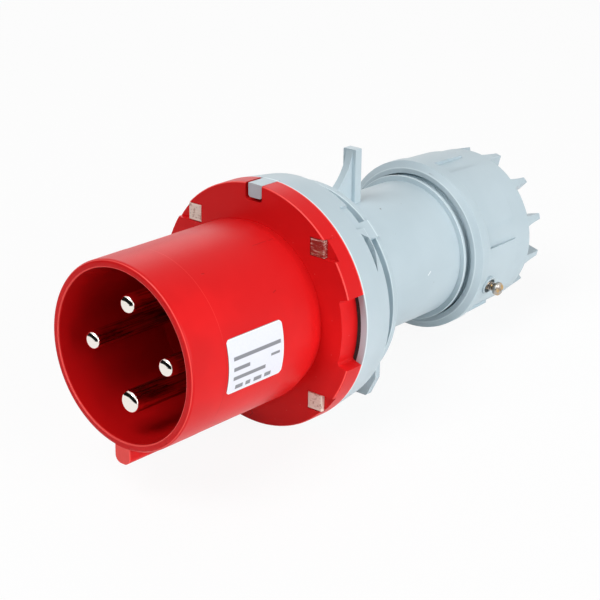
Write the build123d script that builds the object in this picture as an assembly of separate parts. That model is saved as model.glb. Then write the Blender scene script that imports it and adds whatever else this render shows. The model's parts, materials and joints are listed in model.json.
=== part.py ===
"""Industrial pin and sleeve plug, 63 A, three phases and earth.

The plug axis is Y. The mating mouth is at y = 0 and faces -Y, the cable leaves along +Y.
+Z is up: the earth pin and the key ridge are at the bottom, the latch nose is on top.
The origin is the centre of the mouth. All sizes are in millimetres.
"""

import os
from math import asin, cos, degrees, radians, sin, sqrt

from build123d import *

# Contact pins, on one pitch circle
phase_pin_radius = 4.0
earth_pin_radius = 5.0
pin_circle_inset = 19.0
top_pin_angle = 90.0
left_pin_angle = 180.0
right_pin_angle = 0.0
earth_pin_angle = -90.0
pin_recess = 3.4
phase_nose_rounding = 3.3
earth_nose_rounding = 4.2
pin_relief_gap = 1.0
pin_relief_depth = 0.4
pin_seat_inset = 0.4
pin_seat_step = 0.5
pin_collar_thickness = 3.0
pin_collar_step = 1.4
phase_terminal_radius = 7.0
earth_terminal_radius = 8.0
terminal_length = 23.0
conductor_bore_radius = 4.6
conductor_bore_depth = 17.0

# Terminal screws, two in each pin
terminal_screw_radius = 2.5
terminal_screw_length = 8.0
terminal_screw_pitch = 8.5
terminal_screw_inset = 4.8
terminal_screw_dip = 0.8
screw_slot_width = 0.9
screw_slot_depth = 1.0

# Red pin housing: shroud, carrier wall and flange in one moulding
shroud_radius = 40.0
shroud_wall = 3.35
shroud_edge_rounding = 1.5
shroud_bore_rounding = 0.4
parting_line_y = 19.0
parting_step = 0.1
carrier_front_y = 58.0
carrier_thickness = 8.0
flange_front_y = 78.3
flange_thickness = 9.8
flange_radius = 54.2
flange_edge_rounding = 0.7
shroud_taper_length = 6.8
shroud_taper_blend = 12.0
shroud_root_drop = 2.35
shroud_root_wall = 3.05
terminal_space_cone = 4.8
spigot_step = 5.2
spigot_wall = 4.0
spigot_length = 12.8
key_width = 8.2
key_height = 6.7
key_rounding = 3.2
key_root_depth = 3.0

# Openings in the flange
side_notch_depth = 5.3
side_notch_half_angle = 16.8
side_notch_fillet = 1.5
top_notch_depth = 7.7
top_notch_left_x = -5.3
top_notch_right_x = 4.1
top_notch_rounding = 1.6
insert_side = 7.5
insert_corner_angle = 44.63
insert_rim_inset = 0.1
insert_length = 7.5
insert_edge = 0.3
insert_clearance = 0.1
slot_depth = 2.0
slot_side_clearance = 0.3

# Plate that holds the pins in the carrier, and its screws
retainer_edge_clearance = 0.6
retainer_thickness = 4.0
retainer_screw_circle = 21.0
retainer_screw_radius = 1.9
retainer_screw_head_radius = 3.6
retainer_screw_head_height = 2.4
retainer_screw_bite = 6.0

# Grey rear housing: locking ring, neck, collar and tube in one moulding
gasket_channel = 2.0
ring_bore_spare = 1.1
ring_taper = 2.2
ring_ledge = 0.7
ring_edge_rounding = 0.8
ring_back_wall = 4.6
neck_step = 8.0
neck_wall = 3.4
collar_step = 3.3
collar_thickness = 3.0
groove_width = 8.2
shoulder_length = 13.0
shoulder_fillet = 6.0
tube_radius = 32.3
tube_wall = 4.0
tube_length = 52.5
end_collar_step = 2.5
end_collar_thickness = 1.6
end_collar_rounding = 0.3
thread_step = 1.6
thread_runout = 5.4
thread_reach = 30.0
locking_tab_width = 7.5
locking_tab_floor_gap = 1.5
locking_tab_front_gap = 0.3
locking_tab_rounding = 1.3

# Marks on the ring, webs behind it and the square corners of the collar
ring_flat_start_angle = 45.0
ring_flat_end_angle = 58.5
ring_flat_depth = 1.0
ring_flat_width = 5.5
web_half_angle = 5.0
web_step = 3.4
pocket_angle = 33.0
pocket_depth = 3.8
pocket_rear_wall = 1.0
pocket_length = 3.5
pocket_front_reach = 8.7
pocket_rear_low = 0.2
pocket_rear_high = 6.2
foot_inner_step = 25.0
foot_side_step = 5.3
foot_bottom_step = 0.6
foot_cut_across = 4.8
foot_cut_up = 9.4
foot_rounding = 1.5

# Latch nose on top of the tube
nose_setback = 10.0
nose_plate_thickness = 4.2
nose_half_width = 3.5
nose_rise = 24.5
nose_rib_thickness = 3.4
nose_rib_length = 16.0
nose_rib_foot_rise = 4.8
nose_rib_drop = 0.7
nose_rib_radius = 25.6
nose_rounding = 0.5

# Seals
gasket_thickness = 3.2
gasket_clearance = 0.1
grommet_bore_radius = 14.0
grommet_length = 16.0
grommet_head_step = 2.9
grommet_head_length = 5.2
grommet_taper = 3.0
grommet_clearance = 0.2
grommet_groove_depth = 1.2

# Pressure ring between grommet and nut
pressure_ring_thickness = 3.6
pressure_ring_bore_radius = 17.0
pressure_ring_clearance = 0.3

# Gland nut
nut_gap = 4.6
nut_thread_clearance = 0.3
nut_mouth_step = 0.6
nut_mouth_depth = 7.4
nut_mouth_flare = 0.3
nut_face_width = 2.3
nut_front_slope = 2.0
nut_front_rise = 3.2
nut_lip_length = 8.2
nut_lip_step = 1.0
nut_land_drop = 0.6
nut_land_taper = 0.8
nut_band_length = 14.0
nut_land_slope = 1.3
nut_band_drop = 1.2
nut_dish_depth = 2.6
nut_rear_taper = 0.4
nut_edge_rounding = 0.4
nut_rear_wall = 7.0
nut_cable_hole_radius = 21.0
nut_hole_flare = 2.0
nut_dish_step = 4.6
panel_count = 6
panel_first_angle = 15.0
panel_half_angle = 7.5
panel_inset = 0.8
tooth_count = 12
tooth_first_angle = 15.0
tooth_height = 12.6
tooth_tip_drop = 1.6
tooth_depth = 12.6
tooth_root_width = 5.2
tooth_tip_width = 3.0
tooth_tip_rounding = 1.5
tooth_flank_hollow = 0.25
tooth_sink = 0.8
tooth_set_back = 0.1

# Lock screw in the side of the nut; depths are counted outwards from where its axis meets its boss
lock_hole_angle = -18.5
lock_hole_rise = 0.8
lock_hole_setback = 10.2
lock_screw_tilt = -5.0
lock_screw_radius = 2.0
lock_screw_length = 8.5
lock_screw_tip_depth = -4.1
lock_screw_head_radius = 3.15
lock_screw_head_height = 2.3
lock_hole_clearance = 0.05
lock_boss_radius = 4.5
lock_boss_depth = -5.0
lock_boss_top = 0.6
lock_boss_rounding = 0.5
lock_counterbore_radius = 3.5
lock_counterbore_depth = -1.8

# Rating label on the shroud
label_inset = 1.2
label_length = 32.2
label_half_height = 11.65
label_corner = 2.2
label_thickness = 0.2
label_clearance = 0.04

# Worked out: shroud, flange and what is in them
shroud_bore_radius = shroud_radius - shroud_wall
barrel_radius = shroud_radius - parting_step
pin_circle_radius = shroud_radius - pin_circle_inset
shroud_root_radius = shroud_radius - shroud_root_drop
shroud_taper_y = flange_front_y - shroud_taper_length
terminal_space_radius = shroud_root_radius - shroud_root_wall
carrier_rear_y = carrier_front_y + carrier_thickness
flange_rear_y = flange_front_y + flange_thickness
spigot_radius = flange_radius - spigot_step
spigot_end_y = flange_rear_y + spigot_length
side_notch_floor_radius = flange_radius - side_notch_depth
top_notch_floor_z = flange_radius - top_notch_depth
insert_outer_x = (flange_radius - insert_rim_inset) * cos(radians(insert_corner_angle))
insert_outer_z = (flange_radius - insert_rim_inset) * sin(radians(insert_corner_angle))
insert_inner_x = insert_outer_x - insert_side
insert_inner_z = insert_outer_z - insert_side
retainer_radius = terminal_space_radius - retainer_edge_clearance
retainer_front_y = carrier_rear_y + pin_collar_thickness
retainer_rear_y = retainer_front_y + retainer_thickness
label_start_y = parting_line_y + label_inset
label_inner_radius = barrel_radius + label_clearance

# Worked out: rear housing
ring_bore_radius = spigot_radius + gasket_channel
ring_bore_depth = gasket_clearance + gasket_thickness + ring_bore_spare
ring_rear_radius = flange_radius - ring_taper
ring_length = spigot_length + gasket_clearance + ring_ledge + ring_back_wall
ring_rear_y = flange_rear_y + ring_length
locking_tab_floor_z = top_notch_floor_z + locking_tab_floor_gap
pocket_floor_radius = ring_rear_radius - pocket_depth
web_radius = ring_rear_radius - web_step
neck_radius = ring_rear_radius - neck_step
collar_radius = neck_radius + collar_step
collar_front_y = ring_rear_y + groove_width
collar_rear_y = collar_front_y + collar_thickness
foot_inner = neck_radius - foot_inner_step
foot_side = neck_radius - foot_side_step
foot_bottom = neck_radius - foot_bottom_step
shoulder_end_y = collar_rear_y + shoulder_length
tube_bore_radius = tube_radius - tube_wall
nose_plate_front_y = shoulder_end_y + nose_setback
nose_top_z = tube_radius + nose_rise
nose_rib_foot_z = tube_radius + nose_rib_foot_rise
end_collar_y = shoulder_end_y + tube_length
end_collar_rear_y = end_collar_y + end_collar_thickness
end_collar_radius = tube_radius + end_collar_step
thread_radius = tube_radius + thread_step
thread_start_y = end_collar_rear_y + thread_runout
thread_end_y = end_collar_y + thread_reach

# Worked out: grommet, pressure ring and nut
grommet_head_radius = thread_radius - grommet_head_step
grommet_front_y = thread_end_y - grommet_length
grommet_rear_y = thread_end_y + grommet_head_length
pressure_ring_front_y = grommet_rear_y + pressure_ring_clearance
pressure_ring_rear_y = pressure_ring_front_y + pressure_ring_thickness
nut_bore_radius = thread_radius + nut_thread_clearance
nut_mouth_radius = nut_bore_radius + nut_mouth_step
nut_crest_radius = nut_mouth_radius + nut_mouth_flare
nut_front_radius = nut_crest_radius + nut_face_width
nut_lip_radius = nut_front_radius + nut_front_rise
nut_land_radius = nut_lip_radius - nut_land_drop
nut_land_end_radius = nut_land_radius - nut_land_taper
nut_band_radius = nut_land_end_radius - nut_band_drop
nut_rear_radius = nut_band_radius - nut_rear_taper
nut_rear_dish_radius = nut_rear_radius - nut_dish_step
nut_front_y = end_collar_y + nut_gap
nut_lip_end_y = nut_front_y + nut_lip_length
nut_floor_y = pressure_ring_rear_y + pressure_ring_clearance
nut_floor_rear_y = nut_floor_y + nut_rear_wall
nut_rear_y = nut_floor_rear_y + nut_dish_depth
nut_land_end_y = nut_rear_y - nut_band_length
tooth_root_y = nut_rear_y - tooth_sink
tooth_tip_y = nut_rear_y + tooth_height
tooth_tip_radius = nut_rear_radius - tooth_tip_drop
tooth_inner_radius = nut_rear_radius - tooth_depth
lock_hole_radius = nut_land_radius + lock_hole_rise
lock_hole_y = nut_front_y + lock_hole_setback

# How far cutting shapes run past what they cut
overrun = 1.0
far = 3 * flange_radius

pin_places = {
    "phase_pin_top": (top_pin_angle, phase_pin_radius),
    "phase_pin_left": (left_pin_angle, phase_pin_radius),
    "phase_pin_right": (right_pin_angle, phase_pin_radius),
    "earth_pin": (earth_pin_angle, earth_pin_radius),
}
corner_places = {
    "top_right": (1, 1),
    "top_left": (-1, 1),
    "bottom_right": (1, -1),
    "bottom_left": (-1, -1),
}


def turned(points):
    """A solid turned about the plug axis; each point is (radius, y) or (radius, y, rounding)."""
    outline = make_face(Polyline(*[(p[0], p[1]) for p in points], close=True))
    for point in points:
        if len(point) == 3 and point[2] > 0:
            corner = outline.vertices().sort_by_distance((point[0], point[1], 0))[0]
            outline = fillet(corner, point[2])
    return revolve(outline, Axis.Y)


def rod(radius, y_start, y_end, x=0.0, z=0.0):
    """A round bar along Y."""
    middle = (y_start + y_end) / 2
    return Pos(x, middle, z) * Rot(90, 0, 0) * Cylinder(radius, y_end - y_start)


def brick(x_span, y_span, z_span):
    """A box given by its spans along the three axes."""
    middle = [(span[0] + span[1]) / 2 for span in (x_span, y_span, z_span)]
    sides = [span[1] - span[0] for span in (x_span, y_span, z_span)]
    return Pos(*middle) * Box(*sides)


def along_y(face, y_start, y_end):
    """A face drawn with X across and Z up, extruded from y_start to y_end."""
    return Pos(0, y_end, 0) * (Plane.XZ * extrude(face, amount=y_end - y_start))


def sector(inner_radius, outer_radius, start_angle, end_angle):
    """A ring sector in the X, Z plane, with angles counted from +X towards +Z."""
    reach = far / cos(radians((end_angle - start_angle) / 2))
    corners = [(reach * cos(radians(a)), reach * sin(radians(a))) for a in (start_angle, end_angle)]
    wedge = make_face(Polyline((0, 0), *corners, close=True))
    return (Circle(outer_radius) - Circle(inner_radius)) & wedge


def around(angle):
    """Turns what lies at +X to the given angle about the plug axis, from +X towards +Z."""
    return Rot(0, -angle, 0)


def on_circle(radius, angle):
    """X and Z of a point on a circle about the plug axis."""
    return radius * cos(radians(angle)), radius * sin(radians(angle))


def radial_rod(radius, start, end, angle, y):
    """A round bar that points away from the plug axis."""
    bar = Pos((start + end) / 2, y, 0) * Rot(0, 90, 0) * Cylinder(radius, end - start)
    return around(angle) * bar


def terminal_radius_of(pin_radius):
    return earth_terminal_radius if pin_radius == earth_pin_radius else phase_terminal_radius


def terminal_screw_ys():
    """The two places along a terminal where its screws stand."""
    rear = retainer_front_y + terminal_length
    first = rear - conductor_bore_depth / 2 - terminal_screw_pitch / 2
    return (first, first + terminal_screw_pitch)


def contact_pin(angle, radius):
    """One turned pin with its round nose, relief groove, seat, collar and screw terminal."""
    rounding = earth_nose_rounding if radius == earth_pin_radius else phase_nose_rounding
    terminal = terminal_radius_of(radius)
    collar = terminal + pin_collar_step
    rear = retainer_front_y + terminal_length
    bore_floor = rear - conductor_bore_depth
    body = turned(
        [
            (0, pin_recess),
            (radius, pin_recess, rounding),
            (radius, carrier_front_y - pin_relief_gap),
            (radius - pin_relief_depth, carrier_front_y - pin_relief_gap),
            (radius - pin_relief_depth, carrier_front_y + pin_seat_inset),
            (radius + pin_seat_step, carrier_front_y + pin_seat_inset),
            (radius + pin_seat_step, carrier_rear_y),
            (collar, carrier_rear_y),
            (collar, retainer_front_y),
            (terminal, retainer_front_y),
            (terminal, rear, flange_edge_rounding),
            (conductor_bore_radius, rear),
            (conductor_bore_radius, bore_floor),
            (0, bore_floor),
        ]
    )
    x, z = on_circle(pin_circle_radius, angle)
    body = Pos(x, 0, z) * body
    for y in terminal_screw_ys():
        hole_end = pin_circle_radius + terminal + pin_collar_step
        body -= radial_rod(terminal_screw_radius, pin_circle_radius, hole_end, angle, y)
    return body


def terminal_screws(angle):
    """The two slotted screws that clamp the conductor in one pin."""
    screws = []
    start = pin_circle_radius + terminal_screw_inset - terminal_screw_dip
    end = start + terminal_screw_length
    for y in terminal_screw_ys():
        screw = radial_rod(terminal_screw_radius, start, end, angle, y)
        slot = brick(
            (end - screw_slot_depth, end + screw_slot_depth),
            (y - screw_slot_width / 2, y + screw_slot_width / 2),
            (-2 * terminal_screw_radius, 2 * terminal_screw_radius),
        )
        screws.append(screw - around(angle) * slot)
    return Compound(children=screws)


def pin_housing():
    """The red moulding: shroud with its key, wall that carries the pins, flange and rear spigot."""
    body = turned(
        [
            (0, carrier_front_y),
            (shroud_bore_radius, carrier_front_y, flange_edge_rounding),
            (shroud_bore_radius, 0, shroud_bore_rounding),
            (shroud_radius, 0, shroud_edge_rounding),
            (shroud_radius, parting_line_y),
            (barrel_radius, parting_line_y),
            (barrel_radius, shroud_taper_y, shroud_taper_blend),
            (shroud_root_radius, flange_front_y),
            (flange_radius, flange_front_y, flange_edge_rounding),
            (flange_radius, flange_rear_y),
            (spigot_radius, flange_rear_y),
            (spigot_radius, spigot_end_y, flange_edge_rounding),
            (spigot_radius - spigot_wall, spigot_end_y),
            (spigot_radius - spigot_wall, flange_rear_y),
            (terminal_space_radius, flange_rear_y - terminal_space_cone),
            (terminal_space_radius, carrier_rear_y),
            (0, carrier_rear_y),
        ]
    )
    body += key_ridge()
    body -= side_notch()
    body -= mirror(side_notch(), Plane.YZ)
    body -= top_notch()
    for x_way, z_way in corner_places.values():
        body -= insert_pocket(x_way, z_way)
    for angle, radius in pin_places.values():
        x, z = on_circle(pin_circle_radius, angle)
        seat_radius = radius + pin_seat_step
        body -= rod(seat_radius, carrier_front_y - overrun, carrier_rear_y + overrun, x, z)
    for angle in retainer_screw_angles():
        x, z = on_circle(retainer_screw_circle, angle)
        bite_y = carrier_rear_y - retainer_screw_bite
        body -= rod(retainer_screw_radius, bite_y, carrier_rear_y + overrun, x, z)
    return body


def key_ridge():
    """The ridge under the shroud that sets the earth position."""
    bottom = -(shroud_radius + key_height)
    ridge = brick(
        (-key_width / 2, key_width / 2),
        (0, flange_front_y + flange_thickness / 2),
        (bottom, -(shroud_radius - key_root_depth)),
    )
    low_edges = ridge.edges().filter_by(Axis.Y).group_by(Axis.Z)[0]
    return fillet(low_edges, key_rounding)


def side_notch():
    """The wide notch in the side of the flange, at +X."""
    gap = along_y(
        sector(side_notch_floor_radius, far / 2, -side_notch_half_angle, side_notch_half_angle),
        flange_front_y - overrun,
        flange_rear_y,
    )
    floor_edges = gap.edges().filter_by(Axis.Y).sort_by_distance((0, flange_rear_y, 0))[:2]
    return fillet(floor_edges, side_notch_fillet)


def top_notch():
    """The notch at the top of the flange that the locking tab lies in."""
    gap = brick(
        (top_notch_left_x, top_notch_right_x),
        (flange_front_y - overrun, flange_rear_y),
        (top_notch_floor_z, far / 2),
    )
    low_edges = gap.edges().filter_by(Axis.Y).group_by(Axis.Z)[0]
    return fillet(low_edges, top_notch_rounding)


def insert_pocket(x_way, z_way):
    """The pocket of one steel insert, and the shallow slot from it out to the rim."""
    low_x = insert_inner_x - insert_clearance
    high_x = insert_outer_x + insert_clearance
    low_z = insert_inner_z - insert_clearance
    high_z = insert_outer_z + insert_clearance
    front = flange_front_y - overrun
    pocket = brick((low_x, high_x), (front, flange_front_y + insert_length), (low_z, high_z))
    slot = brick(
        (low_x, far / 2),
        (front, flange_front_y + slot_depth),
        (insert_inner_z - slot_side_clearance, insert_outer_z + slot_side_clearance),
    )
    return placed_at_corner(pocket + slot, x_way, z_way)


def placed_at_corner(shape, x_way, z_way):
    """Mirrors what is drawn at +X, +Z to one of the four corners."""
    if x_way < 0:
        shape = mirror(shape, Plane.YZ)
    if z_way < 0:
        shape = mirror(shape, Plane.XY)
    return shape


def steel_insert(x_way, z_way):
    """One square steel bar in the flange."""
    bar = brick(
        (insert_inner_x, insert_outer_x),
        (flange_front_y, flange_front_y + insert_length),
        (insert_inner_z, insert_outer_z),
    )
    bar = chamfer(bar.faces().sort_by(Axis.Y)[0].edges(), insert_edge)
    bar &= rod(flange_radius, flange_front_y, flange_front_y + insert_length)
    return placed_at_corner(bar, x_way, z_way)


def retainer_screw_angles():
    return [45 + 90 * k for k in range(4)]


def pin_retainer():
    """The plate behind the carrier wall that holds the four pins by their collars."""
    plate = rod(retainer_radius, retainer_front_y, retainer_rear_y)
    plate = chamfer(plate.edges().sort_by(Axis.Y)[-1], flange_edge_rounding)
    for angle, radius in pin_places.values():
        x, z = on_circle(pin_circle_radius, angle)
        hole = terminal_radius_of(radius) + insert_clearance
        plate -= rod(hole, retainer_front_y - overrun, retainer_rear_y + overrun, x, z)
    for angle in retainer_screw_angles():
        x, z = on_circle(retainer_screw_circle, angle)
        boss = rod(retainer_screw_head_radius, carrier_rear_y, retainer_front_y, x, z)
        plate += boss
        plate -= rod(retainer_screw_radius, carrier_rear_y - overrun, retainer_rear_y + overrun, x, z)
    return plate


def retainer_screws():
    """Four slotted screws through the retainer into the carrier wall."""
    screws = []
    for angle in retainer_screw_angles():
        x, z = on_circle(retainer_screw_circle, angle)
        shank = rod(retainer_screw_radius, carrier_rear_y - retainer_screw_bite, retainer_rear_y, x, z)
        top_y = retainer_rear_y + retainer_screw_head_height
        head = rod(retainer_screw_head_radius, retainer_rear_y, top_y, x, z)
        head = fillet(head.edges().sort_by(Axis.Y)[-1], retainer_screw_head_height / 2)
        slot = brick(
            (x - 2 * retainer_screw_head_radius, x + 2 * retainer_screw_head_radius),
            (top_y - screw_slot_depth, top_y + overrun),
            (z - screw_slot_width / 2, z + screw_slot_width / 2),
        )
        screws.append(shank + head - slot)
    return Compound(children=screws)


def housing_gasket():
    """The rubber ring in the gap between the spigot and the locking ring."""
    inner = spigot_radius + gasket_clearance
    outer = ring_bore_radius - gasket_clearance
    start = flange_rear_y + gasket_clearance
    end = start + gasket_thickness
    return turned([(inner, start), (outer, start), (outer, end), (inner, end)])


def rear_housing():
    """The grey moulding: locking ring, neck, collar, shoulder, tube and threaded end."""
    chamber_radius = spigot_radius + gasket_clearance
    chamber_y = spigot_end_y + gasket_clearance
    neck_bore = neck_radius - neck_wall
    body = turned(
        [
            (ring_bore_radius, flange_rear_y),
            (flange_radius, flange_rear_y),
            (ring_rear_radius, ring_rear_y, ring_edge_rounding),
            (neck_radius, ring_rear_y, ring_edge_rounding),
            (neck_radius, collar_front_y),
            (collar_radius, collar_front_y, ring_edge_rounding / 2),
            (collar_radius, collar_rear_y, ring_edge_rounding / 2),
            (neck_radius, collar_rear_y),
            (tube_radius, shoulder_end_y, shoulder_fillet),
            (tube_radius, end_collar_y),
            (end_collar_radius, end_collar_y, end_collar_rounding),
            (end_collar_radius, end_collar_rear_y, end_collar_rounding),
            (tube_radius, end_collar_rear_y),
            (tube_radius, thread_start_y),
            (thread_radius, thread_start_y, ring_edge_rounding / 2),
            (thread_radius, thread_end_y, ring_edge_rounding / 2),
            (tube_bore_radius, thread_end_y),
            (tube_bore_radius, shoulder_end_y - tube_wall / 2),
            (neck_bore, collar_rear_y - tube_wall / 2),
            (neck_bore, ring_rear_y - ring_back_wall),
            (chamber_radius - spigot_wall, ring_rear_y - ring_back_wall),
            (chamber_radius - spigot_wall, chamber_y),
            (chamber_radius, chamber_y),
            (chamber_radius, flange_rear_y + ring_bore_depth),
            (ring_bore_radius, flange_rear_y + ring_bore_depth),
        ]
    )
    body += locking_tab()
    body += latch_nose()
    for x_way, z_way in corner_places.values():
        body += neck_web(x_way, z_way)
    for x_way in (1, -1):
        body += collar_foot(x_way)
    body -= ring_flat()
    body -= ring_pocket()
    return body


def locking_tab():
    """The tab at the top of the ring that lies in the notch of the flange."""
    tab = brick(
        (-locking_tab_width / 2, locking_tab_width / 2),
        (flange_front_y + locking_tab_front_gap, flange_rear_y),
        (locking_tab_floor_z, far / 2),
    )
    tab = fillet(tab.edges().filter_by(Axis.Y).group_by(Axis.Z)[0], locking_tab_rounding)
    tab += brick(
        (-locking_tab_width / 2, locking_tab_width / 2),
        (flange_rear_y, flange_rear_y + ring_bore_depth),
        (ring_bore_radius, far / 2),
    )
    return tab & rod(flange_radius, flange_front_y, flange_rear_y + ring_bore_depth / 2)


def latch_nose():
    """The upright plate that a socket's lid hooks behind, with its curved rib in front."""
    root_z = tube_radius - tube_wall / 2
    front = nose_plate_front_y
    plate = brick(
        (-nose_half_width, nose_half_width),
        (front, front + nose_plate_thickness),
        (root_z, nose_top_z),
    )
    plate = fillet(plate.edges().filter_by(Axis.Y).group_by(Axis.Z)[-1], nose_rounding)
    foot = (front - nose_rib_length, nose_rib_foot_z)
    buried_foot = (foot[0], nose_rib_foot_z - tube_wall / 2)
    crest = (front, nose_top_z - nose_rib_drop)
    outline = make_face(
        [
            Line((front, root_z), (shoulder_end_y, root_z)),
            Line((shoulder_end_y, root_z), buried_foot),
            Line(buried_foot, foot),
            RadiusArc(foot, crest, -nose_rib_radius),
            Line(crest, (front, root_z)),
        ]
    )
    rib = Pos(-nose_rib_thickness / 2, 0, 0) * (Plane.YZ * extrude(outline, amount=nose_rib_thickness))
    return plate + rib


def neck_web(x_way, z_way):
    """A web across the groove behind one steel insert."""
    middle = degrees(asin(insert_inner_z / sqrt(insert_inner_x**2 + insert_inner_z**2)))
    face = sector(neck_radius - neck_wall / 2, web_radius, middle - web_half_angle, middle + web_half_angle)
    web = along_y(face, ring_rear_y - ring_edge_rounding, collar_front_y + collar_thickness / 2)
    return placed_at_corner(web, x_way, z_way)


def collar_foot(x_way):
    """The square corner of the collar, low on one side."""
    outline = make_face(
        Polyline(
            (foot_inner, -foot_inner),
            (foot_inner, -foot_bottom),
            (foot_side - foot_cut_across, -foot_bottom),
            (foot_side, foot_cut_up - foot_bottom),
            (foot_side, -foot_inner),
            close=True,
        )
    )
    outline = fillet(outline.vertices().sort_by_distance((0, 0, 0))[-2:], foot_rounding)
    outline -= Circle(neck_radius - neck_wall / 2)
    foot = along_y(outline, collar_front_y, collar_rear_y)
    return foot if x_way > 0 else mirror(foot, Plane.YZ)


def ring_flat():
    """The shallow step in the rear edge of the ring."""
    face = sector(ring_rear_radius - ring_flat_depth, far / 2, ring_flat_start_angle, ring_flat_end_angle)
    return along_y(face, ring_rear_y - ring_flat_width, ring_rear_y + overrun)


def ring_pocket():
    """The shallow wedge-shaped pocket in the outside of the ring."""
    rear_y = ring_rear_y - pocket_rear_wall
    front_y = rear_y - pocket_length
    outline = make_face(
        Polyline(
            (front_y, pocket_front_reach),
            (rear_y, pocket_rear_high),
            (rear_y, pocket_rear_low),
            (front_y, -pocket_front_reach),
            close=True,
        )
    )
    wedge = Plane.YZ * extrude(outline, amount=far / 2)
    wedge -= rod(pocket_floor_radius, front_y - overrun, rear_y + overrun)
    return around(pocket_angle) * wedge


def cable_grommet():
    """The rubber seal that the cable passes through."""
    outer = tube_bore_radius - grommet_clearance
    groove_y = (grommet_front_y + thread_end_y) / 2
    return turned(
        [
            (grommet_bore_radius, grommet_front_y),
            (outer - grommet_taper, grommet_front_y),
            (outer, grommet_front_y + grommet_taper),
            (outer, thread_end_y + grommet_clearance),
            (grommet_head_radius, thread_end_y + grommet_clearance),
            (grommet_head_radius, grommet_rear_y, grommet_groove_depth),
            (grommet_bore_radius + grommet_taper, grommet_rear_y),
            (grommet_bore_radius, grommet_rear_y - grommet_taper),
            (grommet_bore_radius, groove_y + grommet_groove_depth),
            (grommet_bore_radius + grommet_groove_depth, groove_y),
            (grommet_bore_radius, groove_y - grommet_groove_depth),
        ]
    )


def pressure_ring():
    """The ring that the nut pushes against the grommet."""
    outer = nut_bore_radius - pressure_ring_clearance
    return turned(
        [
            (pressure_ring_bore_radius, pressure_ring_front_y, grommet_groove_depth),
            (outer, pressure_ring_front_y),
            (outer, pressure_ring_rear_y),
            (pressure_ring_bore_radius, pressure_ring_rear_y, grommet_groove_depth),
        ]
    )


def gland_nut():
    """The grey nut: lip, lands and panels, rear wall with its cable hole, crown of teeth."""
    body = turned(
        [
            (nut_bore_radius, nut_front_y + nut_mouth_depth),
            (nut_mouth_radius, nut_front_y + nut_mouth_depth),
            (nut_mouth_radius, nut_front_y + nut_mouth_flare),
            (nut_crest_radius, nut_front_y),
            (nut_front_radius, nut_front_y),
            (nut_lip_radius, nut_front_y + nut_front_slope, nut_edge_rounding),
            (nut_lip_radius, nut_lip_end_y - nut_lip_step),
            (nut_land_radius, nut_lip_end_y),
            (nut_land_end_radius, nut_land_end_y, nut_edge_rounding),
            (nut_band_radius, nut_land_end_y + nut_land_slope),
            (nut_rear_radius, nut_rear_y, nut_edge_rounding),
            (nut_rear_dish_radius, nut_rear_y),
            (nut_cable_hole_radius + nut_hole_flare, nut_floor_rear_y, nut_edge_rounding),
            (nut_cable_hole_radius, nut_floor_rear_y),
            (nut_cable_hole_radius, nut_floor_y),
            (nut_bore_radius, nut_floor_y),
        ]
    )
    for k in range(panel_count):
        body -= around(panel_first_angle + k * 360 / panel_count) * nut_panel()
    body += lock_boss()
    body -= lock_bore()
    for k in range(tooth_count):
        body += around(tooth_first_angle + k * 360 / tooth_count) * nut_tooth()
    return body


def nut_panel():
    """One shallow panel between the lands, at +X: its floor runs on into the rear band."""
    face = sector(nut_band_radius, far / 2, -panel_half_angle, panel_half_angle)
    return along_y(face, nut_lip_end_y + panel_inset, nut_land_end_y + nut_land_slope)


def nut_tooth():
    """One tooth of the rear crown, at +X: a fin with slightly hollow flanks and a round tip."""
    half_root = tooth_root_width / 2
    half_tip = tooth_tip_width / 2
    shoulder = tooth_tip_y - tooth_tip_rounding
    waist_y = (tooth_root_y + shoulder) / 2
    waist = (half_root + half_tip) / 2 - tooth_flank_hollow
    outline = make_face(
        [
            Line((-half_root, tooth_root_y), (half_root, tooth_root_y)),
            ThreePointArc((half_root, tooth_root_y), (waist, waist_y), (half_tip, shoulder)),
            ThreePointArc((half_tip, shoulder), (0, tooth_tip_y), (-half_tip, shoulder)),
            ThreePointArc((-half_tip, shoulder), (-waist, waist_y), (-half_root, tooth_root_y)),
        ]
    )
    fin = Pos(tooth_inner_radius, 0, 0) * (
        Plane(origin=(0, 0, 0), x_dir=(0, 0, -1), z_dir=(1, 0, 0))
        * extrude(outline, amount=nut_lip_radius - tooth_inner_radius)
    )
    envelope = turned(
        [
            (tooth_inner_radius, tooth_root_y),
            (nut_rear_radius - tooth_set_back, tooth_root_y),
            (tooth_tip_radius, tooth_tip_y, tooth_tip_rounding),
            ((tooth_inner_radius + tooth_tip_radius) / 2, tooth_tip_y, tooth_tip_rounding),
        ]
    )
    return fin & envelope


def at_lock_hole(shape):
    """Places what is drawn along +X from the mouth of the lock screw's hole."""
    x = lock_hole_radius * cos(radians(lock_hole_angle))
    z = lock_hole_radius * sin(radians(lock_hole_angle))
    return Pos(x, lock_hole_y, z) * Rot(0, -lock_screw_tilt, 0) * shape


def lock_rod(radius, start, end):
    """A round bar along the lock screw's axis, between two depths."""
    return Pos((start + end) / 2, 0, 0) * Rot(0, 90, 0) * Cylinder(radius, end - start)


def lock_boss():
    """The round boss on the nut that the lock screw stands in."""
    root = lock_hole_radius + lock_boss_depth
    top = lock_hole_radius + lock_boss_top
    boss = radial_rod(lock_boss_radius, root, top, lock_hole_angle, lock_hole_y)
    return fillet(boss.edges().sort_by_distance((0, lock_hole_y, 0))[-1], lock_boss_rounding)


def lock_bore():
    """The hole of the lock screw, with the wide mouth that its head sinks into."""
    hole = lock_rod(lock_screw_radius + lock_hole_clearance, -lock_hole_radius / 4, lock_boss_top)
    floor = lock_hole_radius + lock_counterbore_depth
    end = lock_hole_radius + lock_boss_top + overrun
    mouth = radial_rod(lock_counterbore_radius, floor, end, lock_hole_angle, lock_hole_y)
    return at_lock_hole(hole) + mouth


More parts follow.
